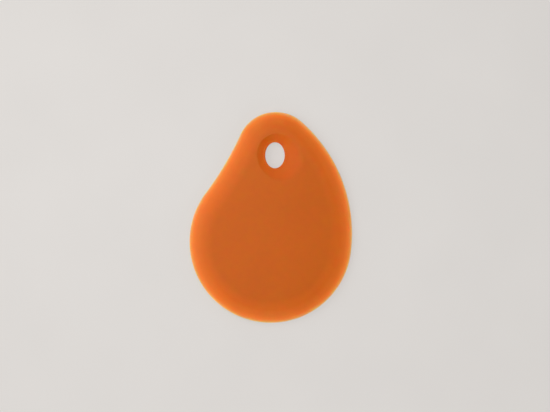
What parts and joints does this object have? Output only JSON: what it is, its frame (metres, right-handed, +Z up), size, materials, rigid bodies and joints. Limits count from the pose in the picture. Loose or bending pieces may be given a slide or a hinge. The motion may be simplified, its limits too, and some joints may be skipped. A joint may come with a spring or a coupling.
{
  "type": "bowl scraper",
  "caption": "Pear-shaped silicone bowl scraper, padded over a stiff plate, with a thin flexible lip all round and an oval hang hole in a shallow dish.",
  "frame": {"origin": "on the resting surface, below the middle of the outline's box", "axes": "+Y towards the narrow end with the hang hole, +Z up out of the face, +X to the bulging side"},
  "size_m": [0.1002, 0.13, 0.008],
  "materials": {
    "silicone": "matt moulded silicone",
    "nylon": "satin moulded, natural"
  },
  "bodies": {
    "root": {"silicone_body": "silicone", "core_plate": "nylon"}
  },
  "joints": []
}
